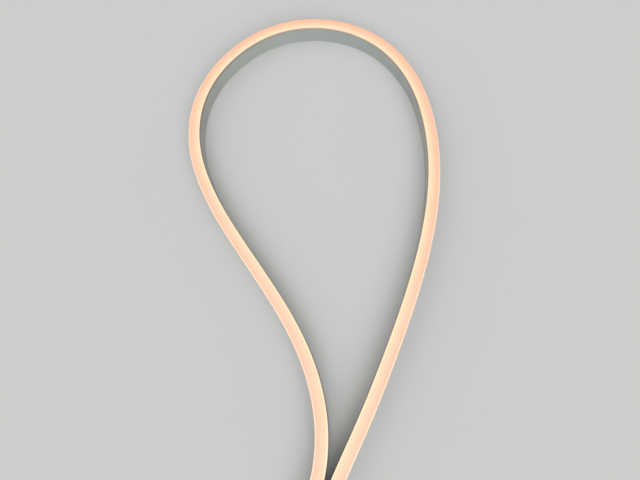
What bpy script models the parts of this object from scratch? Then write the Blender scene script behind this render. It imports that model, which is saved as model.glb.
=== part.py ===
"""LED neon flex, one metre: a milky light guide in an opaque silicone channel,
bent sideways into a hanging loop and lying flat on its base.

Metres, +Z up. The base of the channel is on Z = 0 and the lit face looks up.
The origin is the middle of the object's outline in plan, on the floor plane.
Both limbs of the loop come down side by side towards -Y, and both ends are
closed there by a moulded cap.
"""

import math

import bmesh
import bpy
from mathutils import Matrix, Vector

# ---------------------------------------------------------------- dimensions
MM = 0.001
LENGTH = 1000 * MM  # the whole run along its centre line, caps included
WIDTH = 10 * MM
HEIGHT = 18 * MM
WALL = 1.2 * MM  # side walls of the channel
FLOOR = 2.0 * MM  # its base
HEAD = 0.9 * MM  # side height of the light guide's full-width head
FOOT_R = 0.5 * MM  # rounding along the base
HEAD_R = 0.8 * MM  # rounding along both edges of the lit face
GAP = 0.3 * MM  # between pieces that touch

BOARD_T = 1.0 * MM  # circuit ribbon with its lamps, standing on edge
BOARD_H = 6.0 * MM

CAP = 8 * MM  # length of each end cap
CAP_BEVEL = 0.7 * MM
GLAND_R = 3.0 * MM  # round spout of the lead's inlet
GLAND_TIP_R = 2.6 * MM
GLAND_LENGTH = 6 * MM
INLET_R = 1.8 * MM
INLET_Z = 9 * MM

# Which way the run heads, in degrees from +X, at even distances from its left
# end to its right end. The left limb swings out and up, the crown turns back
# clockwise, and the right limb comes down nearly straight.
HEADINGS = (
    57.0, 84.7, 106.2, 120.2, 124.8, 121.8, 110.4,
    88.2, 60.3, 34.7, 4.5, -24.4, -53.6, -75.6,
    -89.3, -100.0, -107.5, -111.7, -113.9, -116.6, -113.0,
)
STATIONS = 120  # straight stretches that the channel's run is drawn with
FINE = 10  # steps of the integration in each of them


# --------------------------------------------------------------- centre line
def heading(s):
    """Direction of the run, in radians, at a distance s from its left end."""
    last = len(HEADINGS) - 1
    u = min(max(s / LENGTH * last, 0.0), last - 1e-9)
    i = int(u)
    t = u - i
    before = HEADINGS[i - 1] if i > 0 else 2 * HEADINGS[0] - HEADINGS[1]
    a, b = HEADINGS[i], HEADINGS[i + 1]
    after = HEADINGS[i + 2] if i + 2 <= last else 2 * HEADINGS[last] - HEADINGS[last - 1]
    slope = b - before + t * (2 * before - 5 * a + 4 * b - after + t * (3 * (a - b) + after - before))
    return math.radians(a + 0.5 * t * slope)


def run():
    """Centre line as (point, heading) from cap face to cap face."""
    first = CAP + GAP
    step = (LENGTH - 2 * first) / (STATIONS * FINE)
    at = Vector((0.0, 0.0))
    found = [(at.copy(), heading(first))]
    for k in range(STATIONS * FINE):
        mid = heading(first + (k + 0.5) * step)
        at = at + step * Vector((math.cos(mid), math.sin(mid)))
        if (k + 1) % FINE == 0:
            found.append((at.copy(), heading(first + (k + 1) * step)))
    return found


def along(angle):
    return Vector((math.cos(angle), math.sin(angle)))


def centred(stations):
    """The run moved so that the middle of its outline in plan is the origin."""
    outline = []
    for at, angle in stations:
        side = Vector((-math.sin(angle), math.cos(angle))) * WIDTH / 2
        outline += [at + side, at - side]
    (start, a0), (end, a1) = stations[0], stations[-1]
    for at, angle, reach in ((start, a0 + math.pi, CAP), (end, a1, CAP)):
        tip = at + along(angle) * (reach + GAP)
        side = Vector((-math.sin(angle), math.cos(angle))) * (WIDTH / 2 - CAP_BEVEL)
        outline += [tip + side, tip - side]
    spout = end + along(a1) * (CAP + GAP + GLAND_LENGTH)
    side = Vector((-math.sin(a1), math.cos(a1))) * GLAND_TIP_R
    outline += [spout + side, spout - side]
    middle = Vector([(min(p[i] for p in outline) + max(p[i] for p in outline)) / 2 for i in (0, 1)])
    return [(at - middle, angle) for at, angle in stations]


# ------------------------------------------------------------------ sections
def corner(across, up, radius, start, steps):
    """A quarter turn about (across, up), anticlockwise from start degrees."""
    turns = [math.radians(start + 90 * k / steps) for k in range(steps + 1)]
    return [(across + radius * math.cos(t), up + radius * math.sin(t)) for t in turns]


def channel_section():
    """Across (first) and up (second): a U with thin walls and a thicker base."""
    h, r = WIDTH / 2, FOOT_R
    inner = h - WALL
    top = HEIGHT - HEAD - GAP
    return [
        *corner(-h + r, r, r, 180, 2), *corner(h - r, r, r, 270, 2),
        (h, top), (inner, top), (inner, FLOOR), (-inner, FLOOR), (-inner, top), (-h, top),
    ]


def guide_section():
    """A full-width head over a stem that fills the channel, with a groove for the board."""
    h, r = WIDTH / 2, HEAD_R
    stem = h - WALL - GAP
    low = FLOOR + GAP
    groove = BOARD_T / 2 + GAP
    roof = low + BOARD_H + GAP
    under = HEIGHT - HEAD
    return [
        (groove, low), (stem, low), (stem, under), (h, under),
        *corner(h - r, HEIGHT - r, r, 0, 3), *corner(-h + r, HEIGHT - r, r, 90, 3),
        (-h, under), (-stem, under), (-stem, low), (-groove, low),
        (-groove, roof), (groove, roof),
    ]


def board_section():
    low = FLOOR + GAP
    return [
        (-BOARD_T / 2, low), (BOARD_T / 2, low),
        (BOARD_T / 2, low + BOARD_H), (-BOARD_T / 2, low + BOARD_H),
    ]


# ------------------------------------------------------------------- helpers
def collection(name):
    made = bpy.data.collections.new(name)
    bpy.context.scene.collection.children.link(made)
    return made


def material(name, colour, roughness, glow=0.0):
    made = bpy.data.materials.new(name)
    made.use_nodes = True
    shader = made.node_tree.nodes["Principled BSDF"]
    shader.inputs["Base Color"].default_value = (*colour, 1)
    shader.inputs["Roughness"].default_value = roughness
    shader.inputs["Metallic"].default_value = 0.0
    if glow:
        shader.inputs["Emission Color"].default_value = (*colour, 1)
        shader.inputs["Emission Strength"].default_value = glow
    return made


def section_guide(name, points, guides):
    """The section as a closed outline that a curve is bevelled with."""
    curve = bpy.data.curves.new(name, "CURVE")
    curve.dimensions = "2D"
    spline = curve.splines.new("POLY")
    spline.points.add(len(points) - 1)
    for point, (across, up) in zip(spline.points, points):
        point.co = (across, up, 0, 1)
    spline.use_cyclic_u = True
    guide = bpy.data.objects.new(name, curve)
    guides.objects.link(guide)
    guide.hide_render = True
    guide.display_type = "WIRE"
    return guide


def swept(name, points, stations, parts, guides, finish):
    """The section carried along the run, upright all the way, with closed ends."""
    curve = bpy.data.curves.new(name + "_run", "CURVE")
    curve.dimensions = "3D"
    curve.twist_mode = "Z_UP"
    spline = curve.splines.new("POLY")
    spline.points.add(len(stations) - 1)
    for point, (at, _) in zip(spline.points, stations):
        point.co = (at.x, at.y, 0, 1)
    curve.bevel_mode = "OBJECT"
    curve.bevel_object = section_guide(name + "_section", points, guides)
    curve.use_fill_caps = True
    drawn = bpy.data.objects.new(name + "_run", curve)
    guides.objects.link(drawn)
    bpy.context.view_layer.update()
    graph = bpy.context.evaluated_depsgraph_get()
    mesh = bpy.data.meshes.new_from_object(drawn.evaluated_get(graph))
    mesh.name = name
    place = drawn.matrix_world.copy()
    bpy.data.objects.remove(drawn)
    work = bmesh.new()
    work.from_mesh(mesh)
    bmesh.ops.remove_doubles(work, verts=work.verts, dist=0.00001)
    bmesh.ops.recalc_face_normals(work, faces=work.faces)
    work.to_mesh(mesh)
    work.free()
    mesh.materials.clear()
    mesh.materials.append(finish)
    piece = bpy.data.objects.new(name, mesh)
    piece.matrix_world = place
    parts.objects.link(piece)
    return piece


def cap_block(name, face, angle, parts, finish):
    """A plain block of the channel's outline, from its face outwards along angle."""
    mesh = bpy.data.meshes.new(name)
    work = bmesh.new()
    bmesh.ops.create_cube(work, size=1)
    bmesh.ops.scale(work, verts=work.verts, vec=(CAP, WIDTH, HEIGHT))
    bmesh.ops.translate(work, verts=work.verts, vec=(CAP / 2, 0, HEIGHT / 2))
    work.to_mesh(mesh)
    work.free()
    mesh.materials.append(finish)
    block = bpy.data.objects.new(name, mesh)
    parts.objects.link(block)
    block.location = (face.x, face.y, 0)
    block.rotation_euler = (0, 0, angle)
    rounded = block.modifiers.new("edges", "BEVEL")
    rounded.width = CAP_BEVEL
    rounded.segments = 2
    rounded.limit_method = "ANGLE"
    return block


def turned(name, sizes, guides):
    """A closed cone or cylinder lying along X, as (radius at x0, radius at x1, x0, x1)."""
    r0, r1, x0, x1 = sizes
    mesh = bpy.data.meshes.new(name)
    work = bmesh.new()
    bmesh.ops.create_cone(work, cap_ends=True, segments=24, radius1=r0, radius2=r1, depth=x1 - x0)
    lie = Matrix.Translation(((x0 + x1) / 2, 0, INLET_Z)) @ Matrix.Rotation(math.pi / 2, 4, "Y")
    bmesh.ops.transform(work, matrix=lie, verts=work.verts)
    work.to_mesh(mesh)
    work.free()
    tool = bpy.data.objects.new(name, mesh)
    guides.objects.link(tool)
    tool.hide_render = True
    tool.display_type = "WIRE"
    return tool


def main():
    for old in list(bpy.data.objects):
        bpy.data.objects.remove(old, do_unlink=True)

    parts = collection("led_neon_flex")
    guides = collection("guides")

    grey = material("grey_silicone", (0.30, 0.32, 0.31), 0.55)
    milky = material("milky_silicone", (1.0, 0.72, 0.50), 0.5, glow=0.8)
    board = material("circuit_ribbon", (0.85, 0.83, 0.76), 0.45)

    stations = centred(run())
    swept("jacket", channel_section(), stations, parts, guides, grey)
    swept("diffuser", guide_section(), stations, parts, guides, milky)
    swept("led_strip", board_section(), stations, parts, guides, board)

    (start, a0), (end, a1) = stations[0], stations[-1]
    back = a0 + math.pi
    cap_block("end_cap", start + along(back) * GAP, back, parts, grey)

    lead_cap = cap_block("lead_cap", end + along(a1) * GAP, a1, parts, grey)
    spout = turned("spout", (GLAND_R, GLAND_TIP_R, CAP - 2 * MM, CAP + GLAND_LENGTH), guides)
    inlet = turned("inlet", (INLET_R, INLET_R, -5 * MM, CAP + GLAND_LENGTH + 5 * MM), guides)
    for tool, operation in ((spout, "UNION"), (inlet, "DIFFERENCE")):
        tool.parent = lead_cap
        cut = lead_cap.modifiers.new(tool.name, "BOOLEAN")
        cut.operation = operation
        cut.solver = "EXACT"
        cut.object = tool

    bpy.context.view_layer.update()


main()
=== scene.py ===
"""LED neon flex: the looks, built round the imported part.

Metres, the part's own frame. The lit face looks up (+Z), the base lies on Z = 0.
The run's pieces are swept along one centre line, drawn much finer than the solids
they stand for. Each point of them carries how far along the run it is and where
it sits in the section, and the materials read those, so a pattern stays on the
object from any side.
"""

import math

import bmesh
import bpy
import numpy as np
from mathutils import Matrix, Vector


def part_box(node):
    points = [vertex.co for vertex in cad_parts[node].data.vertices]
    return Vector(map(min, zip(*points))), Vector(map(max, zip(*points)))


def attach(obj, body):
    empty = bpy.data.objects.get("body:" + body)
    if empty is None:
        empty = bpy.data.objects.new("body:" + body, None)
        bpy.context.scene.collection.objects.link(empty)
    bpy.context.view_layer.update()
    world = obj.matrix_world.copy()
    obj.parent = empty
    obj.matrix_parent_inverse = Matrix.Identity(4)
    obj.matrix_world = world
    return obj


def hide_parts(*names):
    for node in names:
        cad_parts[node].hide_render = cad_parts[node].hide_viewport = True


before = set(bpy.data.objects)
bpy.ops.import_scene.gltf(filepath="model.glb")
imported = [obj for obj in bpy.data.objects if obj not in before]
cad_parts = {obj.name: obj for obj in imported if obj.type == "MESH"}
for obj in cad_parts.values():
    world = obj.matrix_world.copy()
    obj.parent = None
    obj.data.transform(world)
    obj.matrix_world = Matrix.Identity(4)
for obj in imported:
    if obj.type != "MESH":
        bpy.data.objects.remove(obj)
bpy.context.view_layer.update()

# ------------------------------------------------------------------ dimensions
MM = 0.001
LENGTH = 1000 * MM
WIDTH = 10 * MM
HEIGHT = 18 * MM
WALL = 1.2 * MM
FLOOR = 2.0 * MM
HEAD = 0.9 * MM
FOOT_R = 0.5 * MM
HEAD_R = 0.8 * MM
GAP = 0.3 * MM
SEAM = 0.06 * MM  # what the eye sees of the gap between two pieces
CROWN = 0.25 * MM  # rise of the lit face's middle
BOARD_T = 1.0 * MM
BOARD_H = 6.0 * MM
PITCH = 8.25 * MM  # between lamps
CAP = 8 * MM
CAP_R = 0.8 * MM
GLAND_R = 3.0 * MM
GLAND_TIP_R = 2.6 * MM
GLAND_LENGTH = 6 * MM
INLET_R = 1.8 * MM
INLET_Z = 9 * MM
HEADINGS = (
    57.0, 84.7, 106.2, 120.2, 124.8, 121.8, 110.4,
    88.2, 60.3, 34.7, 4.5, -24.4, -53.6, -75.6,
    -89.3, -100.0, -107.5, -111.7, -113.9, -116.6, -113.0,
)
STATIONS = 120
RINGS = 5  # rings of a skin for each straight stretch of the solids


# ----------------------------------------------------------------- centre line
def heading(s):
    last = len(HEADINGS) - 1
    u = min(max(s / LENGTH * last, 0.0), last - 1e-9)
    i = int(u)
    t = u - i
    before = HEADINGS[i - 1] if i > 0 else 2 * HEADINGS[0] - HEADINGS[1]
    a, b = HEADINGS[i], HEADINGS[i + 1]
    after = HEADINGS[i + 2] if i + 2 <= last else 2 * HEADINGS[last] - HEADINGS[last - 1]
    slope = b - before + t * (2 * before - 5 * a + 4 * b - after + t * (3 * (a - b) + after - before))
    return math.radians(a + 0.5 * t * slope)


def centre_line():
    """Rows of x, y, heading and distance, one for each ring, in the part's frame."""
    first = CAP + GAP
    fine = 10
    step = (LENGTH - 2 * first) / (STATIONS * fine)
    x = y = 0.0
    rows = [(x, y, heading(first), first)]
    for k in range(STATIONS * fine):
        mid = heading(first + (k + 0.5) * step)
        x += step * math.cos(mid)
        y += step * math.sin(mid)
        if (k + 1) * RINGS % fine == 0:
            s = first + (k + 1) * step
            rows.append((x, y, heading(s), s))
    rows = np.array(rows)
    # its place comes from the channel's solid: the corners of its stations in plan
    lo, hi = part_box("jacket")
    coarse = rows[::RINGS]
    side = np.c_[-np.sin(coarse[:, 2]), np.cos(coarse[:, 2])] * WIDTH / 2
    edge = np.r_[coarse[:, :2] + side, coarse[:, :2] - side]
    rows[:, 0] += lo.x - edge[:, 0].min()
    rows[:, 1] += hi.y - edge[:, 1].max()
    return rows


RUN = centre_line()


# ------------------------------------------------------------------- sections
def corner(across, up, radius, start, steps):
    turns = np.radians(start + 90 * np.arange(steps + 1) / steps)
    return [(across + radius * math.cos(t), up + radius * math.sin(t)) for t in turns]


def split(points, longest):
    """The outline with its long straight sides cut into short ones."""
    out = []
    for (a, b), (c, d) in zip(points, points[1:] + points[:1]):
        n = max(1, math.ceil(math.hypot(c - a, d - b) / longest - 1e-6))
        out += [(a + (c - a) * k / n, b + (d - b) * k / n) for k in range(n)]
    return out


def jacket_section():
    """A U, from the middle of its inner floor round to where it began."""
    h, r = WIDTH / 2, FOOT_R
    inner = h - WALL
    top = HEIGHT - HEAD - SEAM
    lip = 0.20 * MM
    return split([
        (0.0, FLOOR), (-inner, FLOOR), *corner(-inner - lip, top - lip, lip, 0, 2),
        *corner(-h + lip, top - lip, lip, 90, 4),
        *corner(-h + r, r, r, 180, 6), *corner(h - r, r, r, 270, 6),
        *corner(h - lip, top - lip, lip, 0, 4),
        *corner(inner + lip, top - lip, lip, 90, 2), (inner, FLOOR),
    ], 2.6 * MM)


def guide_section():
    """A slightly crowned head over the stem, from the roof of its groove round to where it began."""
    h, r = WIDTH / 2, HEAD_R
    stem = h - WALL - 0.02 * MM
    low = FLOOR + GAP
    groove = BOARD_T / 2 + GAP
    roof = low + BOARD_H + GAP
    under = HEIGHT - HEAD
    edge = 0.12 * MM
    flat = 2 * (h - r)
    top = [((h - r) - flat * k / 16, HEIGHT - CROWN * (2 * k / 16 - 1) ** 2) for k in range(1, 16)]
    # the rounded rim, from the head's side up to the face
    side = under + edge + 0.03 * MM
    rise = HEIGHT - CROWN - side
    rim = [(h - r + r * math.cos(t), side + rise * math.sin(t)) for t in np.radians(np.arange(9) * 90 / 8)]
    return split([
        (0.0, roof), (groove, roof), (groove, low), (stem, low), (stem, under),
        (h - edge, under), (h, under + edge), *rim, *top, *[(-a, b) for a, b in rim[::-1]],
        (-h, under + edge), (-h + edge, under), (-stem, under), (-stem, low), (-groove, low), (-groove, roof),
    ], 4.0 * MM)


def sweep(name, section, rows, shown):
    """A closed mesh: the section carried along the rows, upright, with closed ends.

    across is positive towards the inside of the loop. shown(a, b) says whether the
    stretch of the section between two of its points can be seen, and gives it more
    room on the UV map, where the run lies cut into lengths above each other."""
    section = np.array(section)
    n, m = len(section), len(rows)
    inward = np.c_[np.sin(rows[:, 2]), -np.cos(rows[:, 2])]
    x = rows[:, 0, None] + inward[:, 0, None] * section[None, :, 0]
    y = rows[:, 1, None] + inward[:, 1, None] * section[None, :, 0]
    z = np.broadcast_to(section[None, :, 1], x.shape)
    verts = np.stack([x, y, z], -1).reshape(-1, 3)
    ring = np.arange(m - 1)[:, None] * n
    a = (ring + np.arange(n)[None, :]).ravel()
    b = (ring + (np.arange(n)[None, :] + 1) % n).ravel()
    faces = np.c_[a, b, b + n, a + n].tolist()
    faces.append(list(range(n))[::-1])
    faces.append([(m - 1) * n + k for k in range(n)])
    mesh = bpy.data.meshes.new(name)
    mesh.from_pydata(verts.tolist(), [], faces)
    for key, values in (
        ("along", np.repeat(rows[:, 3], n)),
        ("across", np.tile(section[:, 0], m)),
        ("up", np.tile(section[:, 1], m)),
    ):
        layer = mesh.attributes.new(key, "FLOAT", "POINT")
        layer.data.foreach_set("value", values.astype(np.float32))

    after = np.roll(section, -1, 0)
    width = np.hypot(*(after - section).T) * [1.0 if shown(p, q) else 0.15 for p, q in zip(section, after)]
    at = np.r_[0.0, np.cumsum(width)]
    length = rows[-1, 3] - rows[0, 3]
    margin = 1.2 * MM
    lengths = max(1, round(math.sqrt(length / (at[-1] + margin))))
    each = math.ceil((m - 1) / lengths)
    scale = min(0.93 / (length * each / (m - 1)), 0.998 / (lengths * (at[-1] + margin)))
    uv = np.empty((len(faces) - 2, 4, 2))
    r = np.repeat(np.arange(m - 1), n)
    k = np.tile(np.arange(n), m - 1)
    row = r // each
    start = rows[row * each, 3]
    for c, (dr, dk) in enumerate(((0, 0), (0, 1), (1, 1), (1, 0))):
        uv[:, c, 0] = 0.001 + (rows[r + dr, 3] - start) * scale
        uv[:, c, 1] = 0.001 + (row * (at[-1] + margin) + at[k + dk]) * scale
    ends = [
        np.c_[0.965 + section[::-1, 0] * scale, 0.10 + section[::-1, 1] * scale],
        np.c_[0.965 + section[:, 0] * scale, 0.40 + section[:, 1] * scale],
    ]
    layer = mesh.uv_layers.new(name="OFBake")
    layer.data.foreach_set("uv", np.r_[uv.reshape(-1, 2), *ends].astype(np.float32).ravel())

    area = np.sum(section[:, 0] * after[:, 1] - after[:, 0] * section[:, 1])
    if area > 0:
        mesh.flip_normals()
    mesh.shade_smooth()
    mesh.set_sharp_from_angle(angle=math.radians(35))
    made = bpy.data.objects.new(name, mesh)
    bpy.context.scene.collection.objects.link(made)
    return made


# ------------------------------------------------------------------- materials
class Nodes:
    """A small hand for writing node trees."""

    def __init__(self, name):
        self.material = bpy.data.materials.new(name)
        self.material.use_nodes = True
        self.tree = self.material.node_tree
        self.shader = self.tree.nodes["Principled BSDF"]

    def add(self, kind, **settings):
        node = self.tree.nodes.new(kind)
        for key, value in settings.items():
            setattr(node, key, value)
        return node

    def put(self, socket, value):
        if isinstance(value, bpy.types.NodeSocket):
            self.tree.links.new(value, socket)
        elif value is not None:
            socket.default_value = value

    def attribute(self, name):
        return self.add("ShaderNodeAttribute", attribute_name=name).outputs["Fac"]

    def math(self, operation, a, b=None, c=None, clamp=False):
        node = self.add("ShaderNodeMath", operation=operation, use_clamp=clamp)
        for socket, value in zip(node.inputs, (a, b, c)):
            self.put(socket, value)
        return node.outputs[0]

    def ramp(self, value, stops, interpolation="EASE"):
        node = self.add("ShaderNodeValToRGB")
        node.color_ramp.interpolation = interpolation
        elements = node.color_ramp.elements
        while len(elements) < len(stops):
            elements.new(0.5)
        for element, (position, colour) in zip(elements, stops):
            element.position = position
            element.color = (*colour, 1)
        self.put(node.inputs["Fac"], value)
        return node.outputs["Color"]

    def mix(self, factor, a, b, blend="MIX"):
        node = self.add("ShaderNodeMix", data_type="RGBA", blend_type=blend)
        self.put(node.inputs[0], factor)
        self.put(node.inputs[6], a if isinstance(a, bpy.types.NodeSocket) else (*a, 1))
        self.put(node.inputs[7], b if isinstance(b, bpy.types.NodeSocket) else (*b, 1))
        return node.outputs[2]

    def vector(self, x, y, z):
        node = self.add("ShaderNodeCombineXYZ")
        for socket, value in zip(node.inputs, (x, y, z)):
            self.put(socket, value)
        return node.outputs[0]

    def noise(self, vector, scale, detail=2.0, roughness=0.5):
        node = self.add("ShaderNodeTexNoise")
        self.put(node.inputs["Vector"], vector)
        node.inputs["Scale"].default_value = scale
        node.inputs["Detail"].default_value = detail
        node.inputs["Roughness"].default_value = roughness
        return node.outputs["Fac"]

    def span(self, value, low, high, to_low=0.0, to_high=1.0, smooth=True):
        node = self.add("ShaderNodeMapRange", interpolation_type="SMOOTHSTEP" if smooth else "LINEAR")
        self.put(node.inputs["Value"], value)
        for key, number in (("From Min", low), ("From Max", high), ("To Min", to_low), ("To Max", to_high)):
            node.inputs[key].default_value = number
        return node.outputs["Result"]

    def bump(self, height, distance):
        node = self.add("ShaderNodeBump")
        node.inputs["Distance"].default_value = distance
        self.put(node.inputs["Height"], height)
        self.put(self.shader.inputs["Normal"], node.outputs["Normal"])


def on_run(n, along=1.0):
    """A place on the run as along, across and up; a small factor draws a pattern out lengthwise."""
    return n.vector(n.math("MULTIPLY", n.attribute("along"), along), n.attribute("across"), n.attribute("up"))


GREY = (0.421, 0.428, 0.407)
PAINTED_COOL_LIGHT = (0.943, 0.993, 1.0)  # painted light: a cooler tint of that grey round the crown, where a cool light falls
# colour of the painted shade under the lit head
SHADE_UNDER_HEAD = (0.15, 0.13, 0.105)


def tinted(colour, factor):
    return tuple(c * factor for c in colour)


def grey_silicone():
    """Opaque light grey: matt, fine lines drawn out along it, faint clouding and a little dust."""
    n = Nodes("grey_silicone")
    here, drawn, up = on_run(n), on_run(n, 0.02), n.attribute("up")
    lines = n.noise(drawn, 2600, 2.0)
    broad = n.noise(drawn, 420, 1.0)
    grain = n.noise(here, 5200, 1.5)
    bend = n.math("DIVIDE", n.math("SUBTRACT", n.attribute("along"), 0.535), 0.125)
    crown = n.math("EXPONENT", n.math("MULTIPLY", n.math("MULTIPLY", bend, bend), -1.0))
    base = n.ramp(n.noise(here, 55, 3.0, 0.55), [(0.32, tinted(GREY, 0.965)), (0.68, tinted(GREY, 1.035))], "LINEAR")
    # painted light: the grey made cooler round the crown
    base = n.mix(crown, base, PAINTED_COOL_LIGHT, "MULTIPLY")
    base = n.mix(n.math("MULTIPLY", lines, 0.08), base, tinted(GREY, 0.70))
    dust = n.span(n.noise(here, 1500, 1.0, 0.6), 0.70, 0.76)
    base = n.mix(n.math("MULTIPLY", dust, 0.20), base, (0.68, 0.68, 0.66))
    # a little paler along the foot; browner under the lit head, where shade is painted
    foot = n.span(up, 3.4 * MM, 0.6 * MM)
    base = n.mix(n.math("MULTIPLY", foot, 0.25), base, (0.54, 0.59, 0.58))
    # painted shade: a browner dark band under the lit head, weaker round the crown, where more light comes through
    lip = n.math("MULTIPLY", n.span(up, 14.0 * MM, 16.2 * MM), n.math("MULTIPLY_ADD", crown, -0.66, 0.84))
    base = n.mix(lip, base, SHADE_UNDER_HEAD)
    n.put(n.shader.inputs["Base Color"], base)
    n.put(n.shader.inputs["Roughness"], n.span(n.noise(here, 240, 2.0), 0.3, 0.7, 0.50, 0.62))
    n.shader.inputs["Specular IOR Level"].default_value = 0.40
    height = n.math("MULTIPLY_ADD", lines, 0.6, n.math("MULTIPLY_ADD", broad, 0.9, n.math("MULTIPLY", grain, 0.35)))
    n.bump(height, 0.000018)
    # the top of each wall lets a little of the light through
    glow = n.math("POWER", n.span(up, 15.6 * MM, 17.1 * MM, smooth=False), 2.0)
    n.shader.inputs["Emission Color"].default_value = (1.0, 0.32, 0.08, 1)
    n.put(n.shader.inputs["Emission Strength"], n.math("MULTIPLY", glow, n.math("MULTIPLY_ADD", crown, 0.20, 0.04)))
    return n.material


def milky_silicone():
    """Lit from inside: peach towards the outer side of the loop, warm white towards the inner one,
    with a paler line along the inner edge."""
    n = Nodes("milky_silicone")
    here, drawn = on_run(n), on_run(n, 0.02)
    along, across, up = n.attribute("along"), n.attribute("across"), n.attribute("up")
    place = n.span(across, -WIDTH / 2, WIDTH / 2, smooth=False)
    drift = n.math("SUBTRACT", n.noise(n.vector(along, 0.0, 0.0), 16, 1.0), 0.5)
    place = n.math("MULTIPLY_ADD", drift, 0.05, place)
    pale = n.ramp(place, [
        (0.00, (0.90, 0.640, 0.520)),
        (0.08, (0.92, 0.665, 0.490)),
        (0.15, (0.92, 0.465, 0.302)),
        (0.50, (0.93, 0.538, 0.356)),
        (0.72, (0.95, 0.575, 0.357)),
        (0.84, (0.95, 0.592, 0.352)),
        (0.90, (0.97, 0.780, 0.495)),
        (0.945, (0.95, 0.710, 0.445)),
        (1.00, (0.82, 0.520, 0.320)),
    ], "LINEAR")
    deep = n.ramp(place, [
        (0.00, (0.80, 0.412, 0.256)),
        (0.07, (0.85, 0.400, 0.232)),
        (0.15, (0.88, 0.392, 0.212)),
        (0.50, (0.92, 0.478, 0.270)),
        (0.70, (0.95, 0.570, 0.334)),
        (0.85, (0.95, 0.665, 0.398)),
        (0.91, (0.95, 0.648, 0.390)),
        (1.00, (0.85, 0.470, 0.280)),
    ], "LINEAR")
    # deeper in colour round the crown of the loop than towards the two ends
    bend = n.math("DIVIDE", n.math("SUBTRACT", along, 0.54), 0.29)
    crown = n.math("EXPONENT", n.math("MULTIPLY", n.math("MULTIPLY", bend, bend), -1.0))
    lit = n.mix(crown, pale, deep)
    # the thin pale line along the outer edge ends only shortly before the crown
    reach = n.math("DIVIDE", n.math("SUBTRACT", along, 0.53), 0.17)
    reach = n.math("SUBTRACT", 1.0, n.math("EXPONENT", n.math("MULTIPLY", n.math("MULTIPLY", reach, reach), -1.0)))
    lit = n.mix(n.math("MULTIPLY", n.span(place, 0.14, 0.06), reach), lit, (0.92, 0.655, 0.490))
    base = n.mix(n.noise(here, 80, 2.0), (0.155, 0.148, 0.138), (0.175, 0.167, 0.157))
    n.put(n.shader.inputs["Base Color"], base)
    n.put(n.shader.inputs["Emission Color"], lit)
    # a lamp every few millimetres, all but evened out by the time its light leaves the face
    beat = n.math("SINE", n.math("MULTIPLY", along, 2 * math.pi / PITCH))
    even = n.math("MULTIPLY_ADD", beat, 0.005, n.span(n.noise(here, 70, 2.0), 0.3, 0.7, 0.985, 1.015))
    # the rim is dimmer, least so round the crown, and the right limb very slightly brighter
    bend = n.math("DIVIDE", n.math("SUBTRACT", along, 0.545), 0.11)
    near = n.math("EXPONENT", n.math("MULTIPLY", n.math("MULTIPLY", bend, bend), -1.0))
    least = n.math("MULTIPLY_ADD", near, 0.52, 0.05)
    fade = n.span(up, HEIGHT - CROWN - 0.50 * MM, HEIGHT - CROWN)
    fade = n.math("MULTIPLY_ADD", fade, n.math("SUBTRACT", 1.0, least), least)
    even = n.math("MULTIPLY", even, n.span(along, 0.74, 0.84, 1.0, 1.035))
    n.put(n.shader.inputs["Emission Strength"], n.math("MULTIPLY", even, fade))
    n.put(n.shader.inputs["Roughness"], n.span(n.noise(here, 300, 2.0), 0.3, 0.7, 0.42, 0.54))
    n.shader.inputs["Specular IOR Level"].default_value = 0.35
    height = n.math("MULTIPLY_ADD", n.noise(drawn, 2400, 2.0), 0.6, n.math("MULTIPLY", n.noise(here, 4200, 1.5), 0.3))
    n.bump(height, 0.000012)
    return n.material


def moulded(name, colour, roughness, bump=0.00002, scale=2500, metallic=0.0, glow=None):
    """A moulded or coated surface in the object's own coordinates: soft clouding and a fine grain."""
    n = Nodes(name)
    here = n.add("ShaderNodeTexCoord").outputs["Object"]
    cloud = n.noise(here, 120, 3.0)
    n.put(n.shader.inputs["Base Color"], n.ramp(cloud, [(0.3, tinted(colour, 0.95)), (0.7, tinted(colour, 1.05))], "LINEAR"))
    n.put(n.shader.inputs["Roughness"], n.span(n.noise(here, 400, 2.0), 0.3, 0.7, roughness - 0.05, roughness + 0.06))
    n.shader.inputs["Metallic"].default_value = metallic
    n.shader.inputs["Specular IOR Level"].default_value = 0.4
    n.bump(n.noise(here, scale, 2.0), bump)
    if glow:
        n.shader.inputs["Emission Color"].default_value = (*glow[:3], 1)
        n.shader.inputs["Emission Strength"].default_value = glow[3]
    return n.material


# ------------------------------------------------------------------------- caps
def cap_outline():
    """The run's own outline, with more points where a round spout will need them."""
    h, r, top = WIDTH / 2, FOOT_R, HEIGHT - 0.05 * MM
    q = HEAD_R
    arcs = [
        *corner(-h + r, r, r, 180, 6), *corner(h - r, r, r, 270, 6),
        *corner(h - q, top - q, q, 0, 8), *corner(-h + q, top - q, q, 90, 8),
    ]
    out = []
    for (a, b), (c, d) in zip(arcs, arcs[1:] + arcs[:1]):
        out.append((a, b))
        if math.hypot(c - a, d - b) > 1 * MM:
            t0, t1 = (math.atan2(v - INLET_Z, w) for w, v in ((a, b), (c, d)))
            turn = (t1 - t0) % (2 * math.pi)
            steps = max(2, round(math.degrees(turn) / 5))
            for k in range(1, steps):
                t = t0 + turn * k / steps
                # where the ray at t meets this straight side
                if abs(c - a) > abs(d - b):
                    out.append((a + (c - a) * ((b - INLET_Z) / math.tan(t) - a) / (c - a), b))
                else:
                    out.append((a, INLET_Z + a * math.tan(t)))
    return np.array(out)


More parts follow.
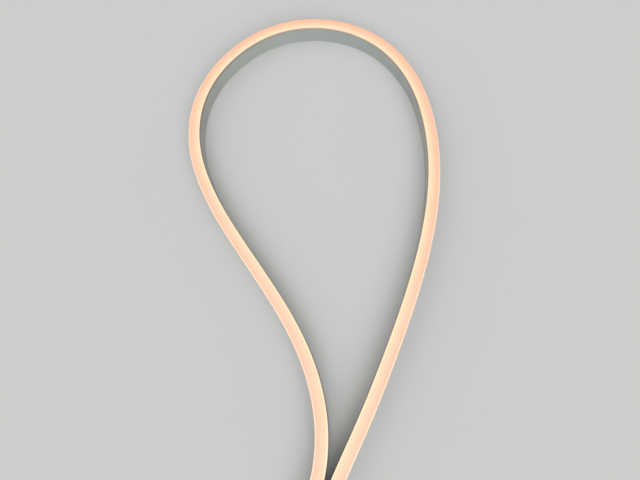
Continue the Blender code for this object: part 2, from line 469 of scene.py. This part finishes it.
def cap_skin(name, end, angle, spout):
    """A moulded cap along +X of its own frame: rounded all round, with a fine step where it meets
    the run. With spout, a tapered round neck with a bore through to the run."""
    outline = cap_outline()
    middle = np.array([0.0, INLET_Z])
    turns = np.arctan2(outline[:, 1] - INLET_Z, outline[:, 0])
    circle = np.c_[np.cos(turns), np.sin(turns)]
    half = np.array([WIDTH / 2, HEIGHT / 2])

    def inset(x, by):
        return np.c_[np.full(len(outline), x), middle + (outline - middle) * (half - by) / half]

    def round_ring(x, radius):
        return np.c_[np.full(len(outline), x), middle + circle * radius]

    start = SEAM - GAP
    quarter = np.radians(np.linspace(0, 90, 7))
    rings = [inset(start + 0.22 * MM * (1 - math.cos(t)), 0.22 * MM * (1 - math.sin(t))) for t in quarter[::2]]
    rings += [inset(x, 0.0) for x in np.linspace(start + 0.6 * MM, CAP - CAP_R, 6)]
    rings += [inset(CAP - CAP_R + CAP_R * math.sin(t), CAP_R * (1 - math.cos(t))) for t in quarter[1:]]
    if spout:
        rim = inset(CAP, CAP_R)
        fillet = 0.55 * MM
        foot = round_ring(CAP, GLAND_R + fillet)
        rings += [rim * (1 - t) + foot * t for t in (0.12, 0.5, 0.88, 1.0)]
        rings += [round_ring(CAP + fillet * (1 - math.cos(t)), GLAND_R + fillet * (1 - math.sin(t))) for t in quarter[1:]]
        tip = CAP + GLAND_LENGTH
        lip = 0.35 * MM
        slope = (GLAND_R - GLAND_TIP_R) / (GLAND_LENGTH - fillet)
        rings += [round_ring(x, GLAND_R - slope * (x - CAP - fillet)) for x in np.linspace(CAP + 1.2 * MM, tip - lip, 6)]
        rings += [round_ring(tip - lip + lip * math.sin(t), GLAND_TIP_R - lip * (1 - math.cos(t))) for t in quarter[2::2]]
        rings += [round_ring(tip - 0.12 * MM * (1 - math.cos(t)), INLET_R + 0.12 * MM * (1 - math.sin(t))) for t in quarter[::3]]
        rings += [round_ring(x, INLET_R) for x in np.linspace(tip - 1 * MM, start, 8)]
    else:
        # the end face, very slightly dished where the mould's ejector met it
        for by, depth in ((0.14, 0.0), (0.3, 0.0), (0.42, 0.0), (0.47, 0.05), (0.6, 0.07), (0.8, 0.08)):
            face = inset(CAP - depth * MM, CAP_R)
            face[:, 1:] = middle + (face[:, 1:] - middle) * (1 - by)
            rings.append(face)
    n, m = len(outline), len(rings)
    verts = np.concatenate(rings)
    faces = []
    for r in range(m if spout else m - 1):
        for k in range(n):
            a, b = r * n + k, r * n + (k + 1) % n
            c, d = ((r + 1) % m) * n + (k + 1) % n, ((r + 1) % m) * n + k
            faces.append((a, b, c, d))
    if not spout:
        verts = np.r_[verts, [[CAP - 0.08 * MM, 0, INLET_Z], [start, 0, INLET_Z]]]
        faces += [((m - 1) * n + k, (m - 1) * n + (k + 1) % n, m * n) for k in range(n)]
        faces += [((k + 1) % n, k, m * n + 1) for k in range(n)]
    mesh = bpy.data.meshes.new(name)
    mesh.from_pydata(verts.tolist(), [], faces)
    work = bmesh.new()
    work.from_mesh(mesh)
    bmesh.ops.recalc_face_normals(work, faces=work.faces)
    face = end + Vector((math.cos(angle), math.sin(angle), 0)) * GAP
    bmesh.ops.transform(work, matrix=Matrix.Translation(face) @ Matrix.Rotation(angle, 4, "Z"), verts=work.verts)
    work.to_mesh(mesh)
    work.free()
    mesh.shade_smooth()
    mesh.set_sharp_from_angle(angle=math.radians(35))
    made = bpy.data.objects.new(name, mesh)
    bpy.context.scene.collection.objects.link(made)
    return made


# ----------------------------------------------------------------------- ribbon
def ribbon(rows):
    """The circuit ribbon on edge: a thin base, lamps along its top edge looking up, a resistor and
    two pairs of solder pads in each unit, all inside the solid's 1 by 6 mm section."""
    work = bmesh.new()
    low = FLOOR + GAP
    sheet = 0.22 * MM
    back = -BOARD_T / 2
    section = [(back, low), (back + sheet, low), (back + sheet, low + BOARD_H), (back, low + BOARD_H)]

    def at(row, across, up):
        x, y, angle, _ = row
        return Vector((x + math.sin(angle) * across, y - math.cos(angle) * across, up))

    rings = [[work.verts.new(at(row, a, u)) for a, u in section] for row in rows[::2]]
    for one, two in zip(rings, rings[1:]):
        for k in range(4):
            work.faces.new((one[k], one[(k + 1) % 4], two[(k + 1) % 4], two[k]))
    work.faces.new(rings[0][::-1])
    work.faces.new(rings[-1])

    def block(s, size, across, up, slot, round_off=0.0):
        """A small box on the ribbon's face: size is along, across and up; across and up are its low corner."""
        k = min(int(round((s - rows[0, 3]) / (rows[1, 3] - rows[0, 3]))), len(rows) - 1)
        row = rows[k]
        made = bmesh.ops.create_cube(work, size=1)["verts"]
        middle = at(row, across + size[1] / 2, up + size[2] / 2)
        place = Matrix.Translation(middle) @ Matrix.Rotation(row[2], 4, "Z") @ Matrix.Diagonal((*size, 1))
        bmesh.ops.transform(work, matrix=place, verts=made)
        found = {f for v in made for f in v.link_faces}
        if round_off:
            edges = {e for v in made for e in v.link_edges}
            cut = bmesh.ops.bevel(work, geom=list(edges), offset=round_off, segments=1, affect="EDGES", clamp_overlap=True)
            found = {f for f in found if f.is_valid} | set(cut["faces"])
        for f in found:
            f.material_index = slot

    face = back + sheet
    deep = BOARD_T - sheet
    first, last = rows[0, 3] + 4 * MM, rows[-1, 3] - 4 * MM
    count = int((last - first) / PITCH) + 1
    for i in range(count):
        s = first + i * PITCH
        block(s, (3.4 * MM, deep - 0.02 * MM, 0.95 * MM), face, low + BOARD_H - 1.1 * MM, 1, 0.06 * MM)
        block(s, (2.5 * MM, 0.42 * MM, 0.08 * MM), face + 0.18 * MM, low + BOARD_H - 0.16 * MM, 2)
        for side in (-1.95, 1.95):
            block(s + side * MM, (0.5 * MM, 0.10 * MM, 0.8 * MM), face, low + BOARD_H - 1.05 * MM, 3)
        if i % 3 == 1:
            block(s + PITCH / 2, (1.6 * MM, 0.45 * MM, 0.8 * MM), face, low + 2.6 * MM, 4, 0.05 * MM)
            for side in (-0.95, 0.95):
                block(s + PITCH / 2 + side * MM, (0.35 * MM, 0.12 * MM, 0.8 * MM), face, low + 2.6 * MM, 3)
        if i % 3 == 2 and i + 1 < count:
            for side in (-1.3, 1.3):
                for up in (0.5, 3.6):
                    block(s + PITCH / 2 + side * MM, (1.9 * MM, 0.04 * MM, 1.5 * MM), face, low + up * MM, 5)
    bmesh.ops.recalc_face_normals(work, faces=work.faces)
    mesh = bpy.data.meshes.new("lamp_ribbon")
    work.to_mesh(mesh)
    work.free()
    made = bpy.data.objects.new("lamp_ribbon", mesh)
    bpy.context.scene.collection.objects.link(made)
    return made


# ----------------------------------------------------------------- camera first
scene = bpy.context.scene
cam_data = bpy.data.cameras.new("camera")
camera = bpy.data.objects.new("camera", cam_data)
scene.collection.objects.link(camera)
scene.camera = camera
right = Vector((0.998530, 0.000179, -0.054205))
upward = Vector((0.016322, 0.952587, 0.303828))
ahead = Vector((-0.051689, 0.304266, -0.951184))
camera.matrix_world = Matrix((
    (right.x, upward.x, -ahead.x, 0.027774),
    (right.y, upward.y, -ahead.y, -0.122659),
    (right.z, upward.z, -ahead.z, 0.385674),
    (0, 0, 0, 1),
))
cam_data.sensor_width = 36
cam_data.lens = 36 * 481 / 640
cam_data.clip_start = 0.01
cam_data.clip_end = 50

# ---------------------------------------------------------------------- pieces
INNER = WIDTH / 2 - WALL + 0.01 * MM


def outside(p, q):
    return max(abs(p[0]), abs(q[0])) > INNER or max(p[1], q[1]) < FLOOR - 0.01 * MM


def of_the_head(p, q):
    return min(p[1], q[1]) > HEIGHT - HEAD + 0.05 * MM


jacket = sweep("jacket_skin", jacket_section(), RUN, outside)
jacket.data.materials.append(grey_silicone())
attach(jacket, "root")
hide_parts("jacket")

guide = sweep("light_guide", guide_section(), RUN, of_the_head)
guide.data.materials.append(milky_silicone())
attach(guide, "root")
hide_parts("diffuser")

lamps = ribbon(RUN)
for finish in (
    moulded("ribbon_white", (0.80, 0.79, 0.74), 0.45, 0.00001),
    moulded("lamp_body", (0.84, 0.84, 0.82), 0.35, 0.000004),
    moulded("lamp_phosphor", (0.90, 0.62, 0.22), 0.5, 0.00001, glow=(1.0, 0.62, 0.34, 1.5)),
    moulded("solder", (0.62, 0.62, 0.63), 0.28, 0.00002, 4000, metallic=1.0),
    moulded("resistor_black", (0.03, 0.03, 0.032), 0.4, 0.00001),
    moulded("pad_copper", (0.78, 0.47, 0.29), 0.35, 0.00001, metallic=1.0),
):
    lamps.data.materials.append(finish)
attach(lamps, "root")
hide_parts("led_strip")

cap_grey = moulded("cap_silicone", GREY, 0.56, 0.00003, 3200)
for name, node, row, turn, spout in (
    ("end_cap_skin", "end_cap", RUN[0], math.pi, False),
    ("lead_cap_skin", "lead_cap", RUN[-1], 0.0, True),
):
    cap = cap_skin(name, Vector((row[0], row[1], 0)), row[2] + turn, spout)
    cap.data.materials.append(cap_grey)
    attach(cap, "root")
    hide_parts(node)


# ----------------------------------------------------------------------- stage
def floor():
    mesh = bpy.data.meshes.new("floor")
    work = bmesh.new()
    bmesh.ops.create_grid(work, x_segments=2, y_segments=2, size=12)
    bmesh.ops.translate(work, verts=work.verts, vec=(0, 0, -0.0002))
    work.to_mesh(mesh)
    work.free()
    made = bpy.data.objects.new("floor", mesh)
    scene.collection.objects.link(made)
    n = Nodes("pale_floor")
    n.shader.inputs["Base Color"].default_value = (0.62, 0.615, 0.605, 1)
    n.shader.inputs["Roughness"].default_value = 0.9
    n.shader.inputs["Specular IOR Level"].default_value = 0.1
    mesh.materials.append(n.material)


def soft_sun(name, strength, angle, source, colour):
    """Even soft light from the direction of source: a wide disc far away."""
    data = bpy.data.lights.new(name, "SUN")
    data.energy = strength
    data.angle = math.radians(angle)
    data.color = colour
    made = bpy.data.objects.new(name, data)
    made.rotation_euler = Vector(source).to_track_quat("Z", "Y").to_euler()
    scene.collection.objects.link(made)


floor()
soft_sun("key", 1.65, 55, (0.28, -1.0, 1.0), (0.97, 1.0, 1.0))
soft_sun("side", 0.55, 60, (-1.0, 0.1, 0.8), (0.97, 1.0, 1.0))
soft_sun("top", 0.35, 90, (0.1, 0.2, 1.0), (1.0, 0.99, 0.98))

world = bpy.data.worlds.new("studio")
scene.world = world
world.use_nodes = True
tree = world.node_tree
sky = tree.nodes["Background"]
sky.inputs["Color"].default_value = (0.42, 0.42, 0.415, 1)
backdrop = tree.nodes.new("ShaderNodeBackground")
backdrop.inputs["Color"].default_value = (0.601, 0.6045, 0.5906, 1)
path = tree.nodes.new("ShaderNodeLightPath")
either = tree.nodes.new("ShaderNodeMixShader")
tree.links.new(path.outputs["Is Camera Ray"], either.inputs[0])
tree.links.new(sky.outputs[0], either.inputs[1])
tree.links.new(backdrop.outputs[0], either.inputs[2])
tree.links.new(either.outputs[0], tree.nodes["World Output"].inputs["Surface"])

scene.view_settings.view_transform = "Standard"
scene.view_settings.look = "None"
scene.view_settings.exposure = 0
scene.view_settings.gamma = 1
